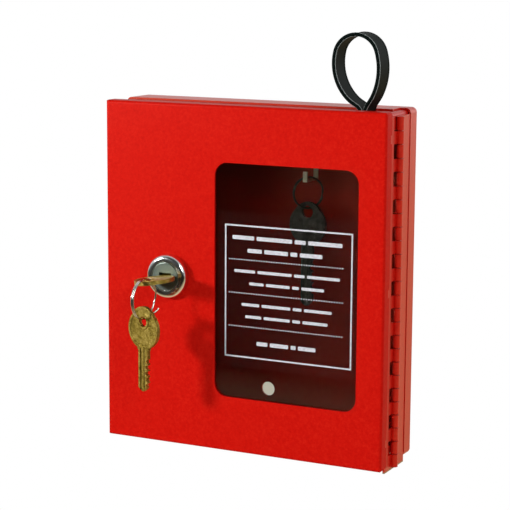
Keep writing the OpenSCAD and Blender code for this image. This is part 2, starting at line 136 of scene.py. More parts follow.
def finish_of(name, **values):
    """A new material with its Principled shader, set by socket name."""
    material = bpy.data.materials.new(name)
    material.use_nodes = True
    shader = material.node_tree.nodes["Principled BSDF"]
    for key, value in values.items():
        shader.inputs[key.replace("_", " ")].default_value = value
    return material, material.node_tree, shader


def object_coordinates(tree, turn=(0, 0, 0), scale=(1, 1, 1)):
    """Object coordinates, turned and stretched by a Mapping node."""
    place = add(tree, "ShaderNodeTexCoord").outputs["Object"]
    return add(tree, "ShaderNodeMapping", Vector=place, Rotation=turn, Scale=scale).outputs[0]


def ramp(tree, factor, stops):
    """A colour ramp: stops are (position, hex)."""
    node = add(tree, "ShaderNodeValToRGB", Fac=factor)
    elements = node.color_ramp.elements
    while len(elements) < len(stops):
        elements.new(0.5)
    for element, (position, code) in zip(elements, stops):
        element.position, element.color = position, colour(code)
    return node.outputs["Color"]


def level(tree, factor, low, high):
    """A 0 to 1 pattern stretched between two levels."""
    return add(tree, "ShaderNodeMapRange", Value=factor, To_Min=low, To_Max=high).outputs[0]


def grain(tree, place, size_mm, detail=3.0, rough=0.5):
    """Noise whose cells are about that size."""
    node = add(tree, "ShaderNodeTexNoise", Vector=place, Scale=1 / (size_mm * MM), Detail=detail,
               Roughness=rough)
    return node.outputs["Fac"]


def bumped(tree, shader, height, depth_mm, strength=1.0, soft_edge_mm=0.0):
    """Feeds a height pattern to the shader's normal, over edges rounded by the Bevel node."""
    node = add(tree, "ShaderNodeBump", Height=height, Distance=depth_mm * MM, Strength=strength)
    if soft_edge_mm:
        edge = add(tree, "ShaderNodeBevel", {"samples": 4}, Radius=soft_edge_mm * MM)
        tree.links.new(edge.outputs[0], node.inputs["Normal"])
    tree.links.new(node.outputs[0], shader.inputs["Normal"])


# %% [markdown]
# ## Powder coat
# The case and the door are taken to be folded steel sheet, sprayed with powder that melts to a thick
# red skin. It has an orange peel of 1 to 2 mm, a soft gloss and slightly paler specks. The hinge's
# lower end is drawn as bare steel. The rear pan and the hinge have a harder and warmer gloss than
# the door, set against the photograph.

# %% Powder coat
CASE_MIDDLE = (2.5 * MM, -19 * MM, 0)


def painted_inner_shade(tree, place):
    """1 on faces that look into the case, where the red is darkened as painted shade."""
    facing = add(tree, "ShaderNodeTexCoord").outputs["Normal"]
    away = add(tree, "ShaderNodeVectorMath", {"operation": "SUBTRACT"}, i0=place, i1=CASE_MIDDLE)
    out = add(tree, "ShaderNodeVectorMath", {"operation": "DOT_PRODUCT"}, i0=facing,
              i1=away.outputs[0])
    return add(tree, "ShaderNodeMath", {"operation": "LESS_THAN"}, i0=out.outputs["Value"],
               i1=0.0).outputs[0]


def powder_coat(name, sheen, sheen_tint, bare_below=None):
    """Orange peel and specks over red. Below bare_below it is bare steel; without bare_below, faces
    inside the case get a darker red as painted shade.
    """
    material, tree, shader = finish_of(name, Roughness=0.36, IOR=1.5, Specular_IOR_Level=sheen,
                                       Specular_Tint=colour(sheen_tint))
    place = object_coordinates(tree)
    peel = grain(tree, place, 1.5, 2.0)
    speck = grain(tree, place, 0.8, 4.0, 0.7)
    mottle = add(tree, "ShaderNodeMix", {"data_type": "FLOAT"}, i0=0.55, i2=peel, i3=speck)
    paint = ramp(tree, mottle.outputs[0],
                 [(0.3, "#BC0E07"), (0.5, "#C8130A"), (0.72, "#D02214")])
    if bare_below is not None:
        height = add(tree, "ShaderNodeSeparateXYZ", Vector=place).outputs["Z"]
        edge = add(tree, "ShaderNodeMath", {"operation": "MULTIPLY_ADD"}, i0=speck, i1=1.6 * MM,
                   i2=bare_below - 0.8 * MM)
        bare = add(tree, "ShaderNodeMath", {"operation": "LESS_THAN"}, i0=height,
                   i1=edge.outputs[0]).outputs[0]
        paint = add(tree, "ShaderNodeMix", {"data_type": "RGBA"}, i0=bare, i6=paint,
                    i7=colour("#9B948F")).outputs[2]
        tree.links.new(bare, shader.inputs["Metallic"])
    else:
        # Faces inside the case get a darker red: painted shade for the dark inside of the case.
        paint = add(tree, "ShaderNodeMix", {"data_type": "RGBA"}, i0=painted_inner_shade(tree, place),
                    i6=paint, i7=colour("#B80F08")).outputs[2]
    tree.links.new(paint, shader.inputs["Base Color"])
    tree.links.new(level(tree, speck, 0.3, 0.44), shader.inputs["Roughness"])
    bumped(tree, shader, mottle.outputs[0], 0.035, 0.8, 0.25)
    return material


red_coat = powder_coat("red_epoxy_powder_coat", 0.2, "#FFE8D0")
door_coat = powder_coat("red_powder_coat_on_door", 0.03, "#FFE8D0")
pan_coat = powder_coat("red_powder_coat_on_pan", 0.5, "#FFD9A8")
hinge_coat = powder_coat("red_powder_coat_on_hinge", 0.5, "#FFD9A8", bare_below=-85.1 * MM)
print("red coats:", red_coat.name, door_coat.name, pan_coat.name, hinge_coat.name)

# %% [markdown]
# ## Metals
# The small steel fittings are taken to be zinc plated: grey, with a faint warm cast and cloudy
# roughness. The bezel is chrome plate, nearly a mirror. The plug's face has turning marks round the
# lock's axis. The keys are brass with a worn, olive-gold skin.

# %% Metals
def plated(name, light, dark, rough, cloud_mm=4.0, bump_mm=0.008, edge_mm=0.12):
    """Plate with clouds of two greys, which also vary its roughness."""
    material, tree, shader = finish_of(name, Metallic=1.0, Roughness=rough)
    place = object_coordinates(tree)
    cloud = grain(tree, place, cloud_mm, 4.0, 0.6)
    fine = grain(tree, place, 0.35, 2.0)
    tree.links.new(ramp(tree, cloud, [(0.3, dark), (0.7, light)]), shader.inputs["Base Color"])
    tree.links.new(level(tree, cloud, rough * 0.7, rough * 1.35), shader.inputs["Roughness"])
    bumped(tree, shader, fine, bump_mm, 0.7, edge_mm)
    return material


zinc_plate = plated("zinc_plated_steel", "#C3C4C2", "#9A9A95", 0.34)
chrome = plated("bright_chrome_plate", "#EDF1F0", "#D9DEDD", 0.17, 9.0, 0.001, 0.1)
nickel_wire = plated("nickel_plated_wire", "#D8D6CF", "#A9A69D", 0.2, 2.0, 0.004, 0.0)
dark_steel = plated("dull_steel", "#77756E", "#4A4843", 0.36, 3.0, 0.006, 0.1)
# A paler, cream copy of the zinc plate for the key hook: painted light for the lit patch on it.
zinc_painted_lit = plated("zinc_plate_lightened_as_highlight", "#EFE6CC", "#CFC4A4", 0.5, 3.0)
wafer_brass = plated("stamped_brass", "#CDA75C", "#A8863F", 0.3)


def worn_brass(name, hollow, skin_tone, pale_tone):
    """Key brass: olive in the hollows, brighter gold where it is worn."""
    material, tree, shader = finish_of(name, Metallic=1.0, Roughness=0.4)
    place = object_coordinates(tree)
    tarnish = grain(tree, place, 2.6, 5.0, 0.65)
    pits = grain(tree, place, 0.5, 3.0, 0.6)
    blend = add(tree, "ShaderNodeMix", {"data_type": "FLOAT"}, i0=0.4, i2=tarnish, i3=pits)
    skin = ramp(tree, blend.outputs[0], [(0.32, hollow), (0.48, skin_tone), (0.64, pale_tone)])
    tree.links.new(skin, shader.inputs["Base Color"])
    tree.links.new(level(tree, pits, 0.36, 0.6), shader.inputs["Roughness"])
    worn = grain(tree, place, 1.7, 2.0, 0.45)
    relief = add(tree, "ShaderNodeMath", {"operation": "MULTIPLY_ADD"}, i0=worn, i1=5.0, i2=pits)
    bumped(tree, shader, relief.outputs[0], 0.045, 0.8, 0.18)
    return material


key_brass = worn_brass("worn_key_brass", "#6A5A28", "#A48F42", "#D8C170")
# The hanging key gets a darker copy of the same brass: painted shade that tones down the lamp's glare
# on it.
shaded_key_brass = worn_brass("key_brass_darkened_as_shade", "#5A4C1A", "#9A863A", "#CDB564")


def turned_steel(name, centre):
    """Marks that run round the lock's axis: rings of the distance from it."""
    material, tree, shader = finish_of(name, Metallic=1.0, Roughness=0.42)
    place = add(tree, "ShaderNodeTexCoord").outputs["Object"]
    moved = add(tree, "ShaderNodeMapping", Vector=place, Location=[-c for c in centre])
    flat = add(tree, "ShaderNodeVectorMath", {"operation": "MULTIPLY"}, i0=moved.outputs[0],
               i1=(1, 0, 1))
    away = add(tree, "ShaderNodeVectorMath", {"operation": "LENGTH"}, i0=flat.outputs[0])
    rings = add(tree, "ShaderNodeTexNoise", {"noise_dimensions": "1D"}, W=away.outputs["Value"],
                Scale=1 / (0.35 * MM), Detail=3.0)
    skin = ramp(tree, rings.outputs["Fac"], [(0.3, "#56635B"), (0.7, "#96A39B")])
    tree.links.new(skin, shader.inputs["Base Color"])
    bumped(tree, shader, rings.outputs["Fac"], 0.02, 0.6, 0.12)
    return material


LOCK_X = (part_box("lock_plug")[0].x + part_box("lock_plug")[1].x) / 2
LOCK_AXIS = (LOCK_X, 0, 0)
plug_steel = turned_steel("turned_plug_steel", LOCK_AXIS)
print("lock axis at X", round(LOCK_X / MM, 2), "mm")

# %% [markdown]
# ## Clear sheet, print and rubber
# The pane is taken to be clear acrylic, with a slight grey cast and faint smears in its gloss. The
# printed sheet on it is taken to be thin polyester, a little hazy, and the strap moulded black
# rubber with fine lines along its length.

# %% Clear sheet, print and rubber
def clear_acrylic(name):
    """Clear sheet: smears 12 mm wide change its gloss a little."""
    material, tree, shader = finish_of(name, Base_Color=colour("#E6E9E9"), IOR=1.49,
                                       Transmission_Weight=1.0)
    smears = grain(tree, object_coordinates(tree), 12.0, 4.0, 0.6)
    tree.links.new(level(tree, smears, 0.012, 0.03), shader.inputs["Roughness"])
    return material


def hazy_film(name):
    """Thin sheet that is nearly invisible, apart from its scuffs."""
    material, tree, shader = finish_of(name, Base_Color=colour("#C9C4C4"), IOR=1.57)
    scuff = grain(tree, object_coordinates(tree), 5.0, 4.0, 0.6)
    tree.links.new(level(tree, scuff, 0.16, 0.34), shader.inputs["Roughness"])
    tree.links.new(level(tree, scuff, 0.002, 0.006), shader.inputs["Alpha"])
    return material


def screen_ink(name):
    """Screen print: thin, with small gaps in its cover."""
    material, tree, shader = finish_of(name, Roughness=0.6)
    mesh_marks = grain(tree, object_coordinates(tree), 0.5, 3.0, 0.7)
    tree.links.new(ramp(tree, mesh_marks, [(0.3, "#A9A6AC"), (0.6, "#DADAE0")]),
                   shader.inputs["Base Color"])
    return material


def ribbed_rubber(name, front):
    """Moulded rubber: lines 0.8 mm apart along the strap, and a painted highlight line just behind
    its front edge.
    """
    material, tree, shader = finish_of(name, IOR=1.5, Specular_IOR_Level=0.03)
    place = object_coordinates(tree)
    lines = add(tree, "ShaderNodeTexWave", {"bands_direction": "Y"}, Vector=place,
                Scale=1 / (0.8 * MM) / 20 * math.pi, Distortion=0.3)
    dust = grain(tree, place, 1.2, 4.0, 0.7)
    skin = ramp(tree, dust, [(0.35, "#030A08"), (0.7, "#0B1613")])
    depth = add(tree, "ShaderNodeSeparateXYZ", Vector=place).outputs["Y"]
    # A pale band 0.33 to 0.77 mm behind the front edge, flecked by the dust, is a painted highlight
    # on the bead's corner.
    pale_tone = add(tree, "ShaderNodeMath", {"operation": "COMPARE"}, i0=depth, i1=front + 0.55 * MM,
                 i2=0.22 * MM)
    share = add(tree, "ShaderNodeMath", {"operation": "MULTIPLY"}, i0=pale_tone.outputs[0], i1=dust)
    skin = add(tree, "ShaderNodeMix", {"data_type": "RGBA"}, i0=share.outputs[0], i6=skin,
               i7=colour("#C9D2D0")).outputs[2]
    tree.links.new(skin, shader.inputs["Base Color"])
    tree.links.new(level(tree, dust, 0.48, 0.64), shader.inputs["Roughness"])
    bumped(tree, shader, lines.outputs["Fac"], 0.03, 0.5)
    return material


acrylic = clear_acrylic("clear_acrylic_pane")
film_sheet = hazy_film("clear_polyester_sheet")
white_ink = screen_ink("white_screen_ink")
strap_rubber = ribbed_rubber("black_moulded_rubber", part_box("hanging_strap")[0].y)
print("clear, ink and rubber finishes made")

# %% [markdown]
# ## Smooth copies of the CAD solids
# A CAD node's mesh is loose triangles. A copy is merged and shaded smooth up to a sharp angle, so
# that the bezel, the bends and the knuckles read as round, and the copy stands for the node. It is
# the same shape in the same place.

# %% Smooth copies
SHARP = math.radians(32)


def merged_copy(node, name):
    """A merged copy of a CAD node's mesh as a new object at the origin."""
    mesh = frame["nodes"][node].data.copy()
    mesh.name = name
    mesh.materials.clear()
    if mesh.has_custom_normals:
        mesh.attributes.remove(mesh.attributes["custom_normal"])
    shape = bmesh.new()
    shape.from_mesh(mesh)
    bmesh.ops.remove_doubles(shape, verts=shape.verts, dist=0.5e-6)
    bmesh.ops.dissolve_limit(shape, angle_limit=math.radians(0.5), verts=shape.verts,
                             edges=shape.edges)
    shape.to_mesh(mesh)
    shape.free()
    made = bpy.data.objects.new(name, mesh)
    bpy.context.scene.collection.objects.link(made)
    return made


def smooth(made):
    """Smooth shading, split where faces meet at more than SHARP."""
    made.data.shade_smooth()
    made.data.set_sharp_from_angle(angle=SHARP)
    return made


def stand_for(made, material, body, slot, *nodes):
    """Gives a piece its finish and its body, and hides the nodes it stands for. The slot is not used.
    """
    made.data.materials.clear()
    made.data.materials.append(material)
    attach(made, body)
    if nodes:
        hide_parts(*nodes)
    return made


FINISH = {
    "red_powder_coat": red_coat, "steel_zinc": zinc_plate, "steel_satin": plug_steel,
    "chrome_plate": chrome, "nickel_steel": dark_steel, "brass_key": key_brass,
    "brass_wafer": wafer_brass, "clear_pane": acrylic, "clear_film": film_sheet,
    "black_rubber": strap_rubber,
}
OWN_MESH = {"hanging_strap", "lock_key", "hanging_key", "stored_key", "key_ring", "stored_ring",
            "lock_plug"}
SKIN_FINISH = {
    "hinge_case_leaf": hinge_coat, "hinge_door_leaf": hinge_coat, "hinge_pin": hinge_coat,
    "back_pan": pan_coat, "door_panel": door_coat, "key_hook": zinc_painted_lit,
}
for node in sorted(set(BODY_OF) - OWN_MESH):
    copy = smooth(merged_copy(node, node + "_skin"))
    coat = SKIN_FINISH.get(node, FINISH[SLOT_OF[node]])
    stand_for(copy, coat, BODY_OF[node], SLOT_OF[node], node)
print("smooth copies:", len(BODY_OF) - len(OWN_MESH))

# %% [markdown]
# ## The plug with its open keyway
# The photograph shows a black gap over the key's blade, where the plug's face is cut wider than the
# key. A Boolean cut gives it real depth, so it is dark because no light reaches it.

# %% Plug
def box_mesh(name, low, high):
    """A closed box between two corners, as a cutter."""
    shape = bmesh.new()
    bmesh.ops.create_cube(shape, size=1)
    size = Vector(high) - Vector(low)
    bmesh.ops.scale(shape, vec=size, verts=shape.verts)
    bmesh.ops.translate(shape, vec=(Vector(high) + Vector(low)) / 2, verts=shape.verts)
    mesh = bpy.data.meshes.new(name)
    shape.to_mesh(mesh)
    shape.free()
    return bpy.data.objects.new(name, mesh)


def cut_by(made, cutters):
    """Subtracts each cutter from a piece and keeps the plain result."""
    for cutter in cutters:
        bpy.context.scene.collection.objects.link(cutter)
        cut = made.modifiers.new("cut", "BOOLEAN")
        cut.operation, cut.solver, cut.object = "DIFFERENCE", "EXACT", cutter
    bake_modifiers(made)
    for cutter in cutters:
        bpy.data.objects.remove(cutter)
    return made


def bake_modifiers(made):
    """Turns the evaluated object into a plain mesh without modifiers."""
    graph = bpy.context.evaluated_depsgraph_get()
    mesh = bpy.data.meshes.new_from_object(made.evaluated_get(graph), depsgraph=graph)
    made.modifiers.clear()
    made.data = mesh


FACE_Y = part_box("lock_plug")[0].y
GAP_HALF, GAP_DEEP, GAP_Z = 3.3 * MM, 3 * MM, (0.2 * MM, 2.1 * MM)
plug = merged_copy("lock_plug", "plug_with_keyway")
gap_low = (LOCK_X - GAP_HALF, FACE_Y - MM, GAP_Z[0])
gap_high = (LOCK_X + GAP_HALF, FACE_Y + GAP_DEEP, GAP_Z[1])
cut_by(plug, [box_mesh("keyway_gap", gap_low, gap_high)])
stand_for(smooth(plug), plug_steel, BODY_OF["lock_plug"], "steel_satin", "lock_plug")
print("plug faces:", len(plug.data.polygons))

# %% [markdown]
# ## The keys
# The keys are given a raised rim round the bow and a boss round the hole. The CAD key is the flat
# blank, so the field between rim and boss is sunk in a copy of it, on both sides, and a second
# groove is milled along the blade. The field is plain.

# %% Keys
BOW_R, CROWN_R, RIM, SUNK = 9.6 * MM, 7.2 * MM, 1.25 * MM, 0.28 * MM
NECK, KEY_T = 1.0 * MM, 1.9 * MM
BOW_C = NECK + 9 * MM
CROWN_C = BOW_C + 3.8 * MM


def field_edge(hole_at, angle):
    """Distance from the hole's centre to the rim's inner edge, in that direction."""
    best = 0
    for centre, radius in ((BOW_C, BOW_R - RIM), (CROWN_C, CROWN_R - RIM)):
        drop = hole_at - centre
        along = -drop * math.sin(angle)
        reach = radius ** 2 - (drop * math.cos(angle)) ** 2
        if reach > 0:
            best = max(best, along + math.sqrt(reach))
    return best


def field_cutter(place, hole_at, boss, side):
    """The sunk field on one side: a plate with a hole, placed by the key's own matrix."""
    count = 96
    level_in, level_out = side * (KEY_T / 2 - SUNK), side * (KEY_T / 2 + MM)
    shape = bmesh.new()
    rings = []
    for level_z in (level_in, level_out):
        for own in (True, False):
            ring = []
            for i in range(count):
                a = 2 * math.pi * i / count
                r = boss if own else max(field_edge(hole_at, a), boss + 0.2 * MM)
                ring.append(shape.verts.new((r * math.cos(a), hole_at + r * math.sin(a), level_z)))
            rings.append(ring)
    for a, b in ((0, 1), (1, 3), (3, 2), (2, 0)):
        for i in range(count):
            j = (i + 1) % count
            shape.faces.new((rings[a][i], rings[b][i], rings[b][j], rings[a][j]))
    bmesh.ops.recalc_face_normals(shape, faces=shape.faces)
    return placed(shape, "key_field", place)


def placed(shape, name, place):
    """Moves a bmesh by a matrix and makes it an object. A mirrored matrix turns faces back."""
    bmesh.ops.transform(shape, matrix=place, verts=shape.verts)
    if place.determinant() < 0:
        bmesh.ops.reverse_faces(shape, faces=shape.faces)
    mesh = bpy.data.meshes.new(name)
    shape.to_mesh(mesh)
    shape.free()
    return bpy.data.objects.new(name, mesh)


def groove_cutter(place, left, width, depth, length, side):
    """A mill groove along the blade, from its tip to the shoulder."""
    shape = bmesh.new()
    bmesh.ops.create_cube(shape, size=1)
    bmesh.ops.scale(shape, vec=(width, length + 3 * MM, 2 * depth), verts=shape.verts)
    middle = (left + width / 2, -length / 2 + 0.2 * MM, side * KEY_T / 2)
    bmesh.ops.translate(shape, vec=middle, verts=shape.verts)
    return placed(shape, "key_groove", place)


GROOVES = ((0.5 * MM, 0.7 * MM, 0.35 * MM, 1), (-1.6 * MM, 0.8 * MM, 0.4 * MM, -1))
BOSS_WALL = 1.2 * MM


def cast_key(node, name, place, hole_at, hole_d, blade_l, material):
    """A key with its sunk fields and its grooves, in place of a node. GROOVES says where each
    groove starts across the blade, its width, its depth and its side."""
    key = merged_copy(node, name)
    boss = hole_d / 2 + BOSS_WALL
    cutters = [field_cutter(place, hole_at, boss, s) for s in (-1, 1)]
    cutters += [groove_cutter(place, left, wide, deep, blade_l, side)
                for left, wide, deep, side in GROOVES]
    cut_by(key, cutters)
    return stand_for(smooth(key), material, BODY_OF[node], SLOT_OF[node], node)


def middle_of(node):
    """The middle of a CAD node's box."""
    low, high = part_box(node)
    return (low + high) / 2


BOW_HOLE, STORED_HOLE, BLADE_L, STORED_L = 4.8 * MM, 6 * MM, 20 * MM, 29.5 * MM
HOLE_C, STORED_HOLE_C = BOW_C + 3.6 * MM, BOW_C + 6.2 * MM
WIRE, RING_D, SMALL_RING_D = 1.0 * MM, 20 * MM, 16 * MM
RING_TURN, STORED_TURN, STORED_OPEN, REST_TURN = 85, 47, 50, 7
SHOULDER_Y = FACE_Y - 0.15 * MM
in_lock = (Matrix.Translation((LOCK_X, SHOULDER_Y, 0))
           @ Matrix.Rotation(math.radians(-REST_TURN), 4, "Y") @ Matrix.Diagonal((1, -1, 1, 1)))
key_in_lock = cast_key("lock_key", "brass_key_in_lock", in_lock, HOLE_C, BOW_HOLE, BLADE_L,
                       key_brass)


def hung(hole_at, z_hole, centre, degrees):
    """The matrix of a key that hangs by its hole, with its face turned about Z."""
    return (Matrix.Translation((centre.x, centre.y, z_hole))
            @ Matrix.Rotation(math.radians(degrees), 4, "Z")
            @ Matrix.Rotation(math.radians(90), 4, "X") @ Matrix.Translation((0, -hole_at, 0)))


ring_at, small_at = middle_of("key_ring"), middle_of("stored_ring")
key_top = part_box("hanging_key")[1].z
crown = CROWN_C + CROWN_R
hang_place = hung(HOLE_C, key_top - (crown - HOLE_C), ring_at, RING_TURN - 100)
key_hanging = cast_key("hanging_key", "brass_key_on_ring", hang_place, HOLE_C, BOW_HOLE, BLADE_L,
                       shaded_key_brass)
stored_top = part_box("stored_key")[1].z
stored_place = hung(STORED_HOLE_C, stored_top - (crown - STORED_HOLE_C), small_at,
                    STORED_TURN - STORED_OPEN)
key_stored = cast_key("stored_key", "stored_key_cast", stored_place, STORED_HOLE_C, STORED_HOLE,
                      STORED_L, dark_steel)
print("keys:", [(k.name, len(k.data.polygons)) for k in (key_in_lock, key_hanging, key_stored)])

# %% [markdown]
# ## Split rings
# A split ring is one wire wound nearly twice round. It steps from the first coil to the second over
# a short stretch, and its free end stands off a little. A tube is swept along that path.

# %% Split rings
def tube(name, path, radius, sides=14):
    """A closed round tube along a list of points."""
    shape = bmesh.new()
    rings = []
    side = None
    for i, point in enumerate(path):
        ahead = path[min(i + 1, len(path) - 1)] - path[max(i - 1, 0)]
        ahead.normalize()
        if side is None:
            side = ahead.orthogonal().normalized()
        side = (side - ahead * side.dot(ahead)).normalized()
        other = ahead.cross(side)
        ring = []
        for k in range(sides):
            a = 2 * math.pi * k / sides
            ring.append(shape.verts.new(point + side * radius * math.cos(a)
                                        + other * radius * math.sin(a)))
        rings.append(ring)
    for a, b in zip(rings, rings[1:]):
        for k in range(sides):
            j = (k + 1) % sides
            shape.faces.new((a[k], a[j], b[j], b[k]))
    shape.faces.new(list(reversed(rings[0])))
    shape.faces.new(rings[-1])
    bmesh.ops.recalc_face_normals(shape, faces=shape.faces)
    return placed(shape, name, Matrix.Identity(4))


def ease(x):
    """0 to 1 with a soft start and a soft end."""
    x = min(max(x, 0), 1)
    return x * x * (3 - 2 * x)


WOUND, STEP_OVER, FREE_END = 664, 48, 30
RING_POINTS, COIL_ASIDE, WIRE_DRAWN = 220, 0.43, 0.84


def split_ring(node, name, outside, degrees, first, flare, material):
    """Two coils beside each other. The free end stands off to the side by the flare. The winding,
    its step from coil to coil and its free end are in degrees, the rest in wire widths."""
    middle = middle_of(node)
    r = outside / 2 - WIRE / 2
    a = math.radians(degrees)
    across, normal = Vector((math.cos(a), math.sin(a), 0)), Vector((-math.sin(a), math.cos(a), 0))
    path = []
    for i in range(RING_POINTS + 1):
        t = WOUND * i / RING_POINTS
        free = ease((t - WOUND + FREE_END) / FREE_END)
        crossed = ease((t - (360 - STEP_OVER)) / STEP_OVER)
        aside = WIRE * COIL_ASIDE * (1 - 2 * crossed) - flare * free
        out = 0.5 * flare * free
        angle = math.radians(first + t)
        path.append(middle + across * (r + out) * math.cos(angle)
                    + Vector((0, 0, 1)) * (r + out) * math.sin(angle) + normal * aside)
    ring = tube(name, path, WIRE / 2 * WIRE_DRAWN)
    bpy.context.scene.collection.objects.link(ring)
    return stand_for(smooth(ring), material, BODY_OF[node], SLOT_OF[node], node)


big_ring = split_ring("key_ring", "split_ring_on_key", RING_D, RING_TURN, 22, 1.8 * MM,
                      nickel_wire)
small_ring = split_ring("stored_ring", "split_ring_inside", SMALL_RING_D, STORED_TURN, 40,
                        0.0, dark_steel)
print("rings:", len(big_ring.data.polygons), len(small_ring.data.polygons))

# %% [markdown]
# ## The strap
# The strap is one flat rubber band, folded to a loop, with both ends held side by side under the
# case's top. Its edges are made thicker than its middle, for the thin bright lines that the
# photograph shows. The section is swept along the loop's centre line.

# %% Strap
STRAP_T, STRAP_W, LOOP_W = 1.8 * MM, 12 * MM, 23 * MM
RIGHT_BOW, LEFT_BOW, BESIDE = 28 * MM, 22 * MM, 0.02 * MM
BEAD_W, BEAD_FADE, BEAD_SHARE, CORNER = 0.9 * MM, 0.7 * MM, 0.22, 0.5 * MM
LEG_STEPS, ROUND_STEPS, WIDTH_STEPS = 16, 72, 32
strap_low, strap_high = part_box("hanging_strap")
STRAP_X = 60 * MM
SHELL_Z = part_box("case_shell")[1].z
NECK_Z = SHELL_Z + 1.6 * MM
LOOP_X, LOOP_Z = (strap_low.x + LOOP_W / 2), strap_high.z - LOOP_W / 2


def side_arc(foot_x, radius, bow, side):
    """Points of a bowed leg from the neck to the loop's circle, and the angle where it joins."""
    foot, ring = Vector((foot_x, NECK_Z)), Vector((LOOP_X, LOOP_Z))
    apart = ring - foot
    d = apart.length
    along = (bow ** 2 - (bow - radius) ** 2 + d * d) / (2 * d)
    off = math.sqrt(bow ** 2 - along ** 2)
    ahead = apart / d
    centre = foot + ahead * along + Vector((-ahead.y, ahead.x)) * off * side
    start = math.atan2(foot.y - centre.y, foot.x - centre.x)
    stop = math.atan2(ring.y - centre.y, ring.x - centre.x)
    turned = (stop - start + math.pi) % (2 * math.pi) - math.pi
    arc = [start + turned * i / LEG_STEPS for i in range(LEG_STEPS + 1)]
    return [(centre.x + bow * math.cos(t), centre.y + bow * math.sin(t)) for t in arc], stop


def loop_path():
    """Centre line in the X-Z plane from one leg's end, round the loop, to the other's."""
    radius, half = LOOP_W / 2 - STRAP_T / 2, STRAP_T / 2 + BESIDE
    right_leg, start = side_arc(STRAP_X + half, radius, RIGHT_BOW, 1)
    left_leg, stop = side_arc(STRAP_X - half, radius, LEFT_BOW, -1)
    stop += 2 * math.pi if stop < start else 0
    foot = [strap_low.z + (NECK_Z - strap_low.z) * i / 3 for i in range(3)]
    points = [(STRAP_X + half, z) for z in foot] + right_leg[:1] + right_leg[3:]
    for i in range(1, ROUND_STEPS):
        a = start + (stop - start) * i / ROUND_STEPS
        points.append((LOOP_X + radius * math.cos(a), LOOP_Z + radius * math.sin(a)))
    points += left_leg[:2:-1] + left_leg[:1] + [(STRAP_X - half, z) for z in foot[::-1]]
    for _ in range(3):
        cut = [points[0]]
        for (x0, z0), (x1, z1) in zip(points, points[1:]):
            cut += [(0.75 * x0 + 0.25 * x1, 0.75 * z0 + 0.25 * z1),
                    (0.25 * x0 + 0.75 * x1, 0.25 * z0 + 0.75 * z1)]
        points = cut + [points[-1]]
    return points[::3] + [points[-1]]


def strap_section():
    """Half-thickness across the width: full at the beaded edges, thinner between."""
    half_w, half_t = STRAP_W / 2, STRAP_T / 2
    top = []
    for i in range(WIDTH_STEPS + 1):
        y = -half_w + STRAP_W * i / WIDTH_STEPS
        edge = half_w - abs(y)
        bead = 1 - BEAD_SHARE * ease((edge - BEAD_W) / BEAD_FADE)
        corner = math.sqrt(max(0, 1 - (1 - min(edge / CORNER, 1)) ** 2))
        top.append((y, half_t * bead * (0.25 + 0.75 * corner)))
    return top + [(y, -h) for y, h in reversed(top)]


def sweep_strap():
    """The section carried along the loop, with both ends closed."""
    path, section = loop_path(), strap_section()
    middle_y = (strap_low.y + strap_high.y) / 2
    shape = bmesh.new()
    rings = []
    for i, (x, z) in enumerate(path):
        x1, z1 = path[min(i + 1, len(path) - 1)]
        x0, z0 = path[max(i - 1, 0)]
        ahead = Vector((x1 - x0, 0, z1 - z0)).normalized()
        outward = Vector((ahead.z, 0, -ahead.x))
        rings.append([shape.verts.new(Vector((x, middle_y + y, z)) + outward * h)
                      for y, h in section])
    for a, b in zip(rings, rings[1:]):
        for k in range(len(section)):
            j = (k + 1) % len(section)
            shape.faces.new((a[k], a[j], b[j], b[k]))
    shape.faces.new(list(reversed(rings[0])))
    shape.faces.new(rings[-1])
    bmesh.ops.recalc_face_normals(shape, faces=shape.faces)
    strap = placed(shape, "rubber_strap_loop", Matrix.Identity(4))
    bpy.context.scene.collection.objects.link(strap)
    return strap


strap = stand_for(smooth(sweep_strap()), strap_rubber, "case", "black_rubber", "hanging_strap")
print("strap faces:", len(strap.data.polygons))

# %% [markdown]
# ## The printed sheet
# The sheet carries a thin frame, three dotted dividers and rows of plain bars, all drawn as ink with
# real thickness.

# %% Print frame and bars
INK_T = 0.03 * MM
INK_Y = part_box("printed_film")[0].y - INK_T


def ink_bar(shape, x0, x1, z0, z1, r):
    """A flat bar with round corners, facing the front."""
    r = min(r, (x1 - x0) / 2, (z1 - z0) / 2)
    outline = []
    for cx, cz, a0 in ((x1 - r, z1 - r, 0), (x0 + r, z1 - r, 90), (x0 + r, z0 + r, 180),
                       (x1 - r, z0 + r, 270)):
        for k in range(5):
            a = math.radians(a0 + 22.5 * k)
            outline.append((cx + r * math.cos(a), cz + r * math.sin(a)))
    front = [shape.verts.new((x, INK_Y, z)) for x, z in outline]
    back = [shape.verts.new((x, INK_Y + INK_T, z)) for x, z in outline]
    shape.faces.new(front)
    shape.faces.new(list(reversed(back)))
    for i in range(len(outline)):
        j = (i + 1) % len(outline)
        shape.faces.new((front[i], back[i], back[j], front[j]))


def print_piece(name, bars):
    """One piece of ink from bars given in mm: left, right, bottom, top and corner radius."""
    shape = bmesh.new()
    for x0, x1, z0, z1, r in bars:
        ink_bar(shape, x0 * MM, x1 * MM, z0 * MM, z1 * MM, r * MM)
    bmesh.ops.recalc_face_normals(shape, faces=shape.faces)
    made = placed(shape, name, Matrix.Identity(4))
    bpy.context.scene.collection.objects.link(made)
    return stand_for(made, white_ink, "door", "clear_film")


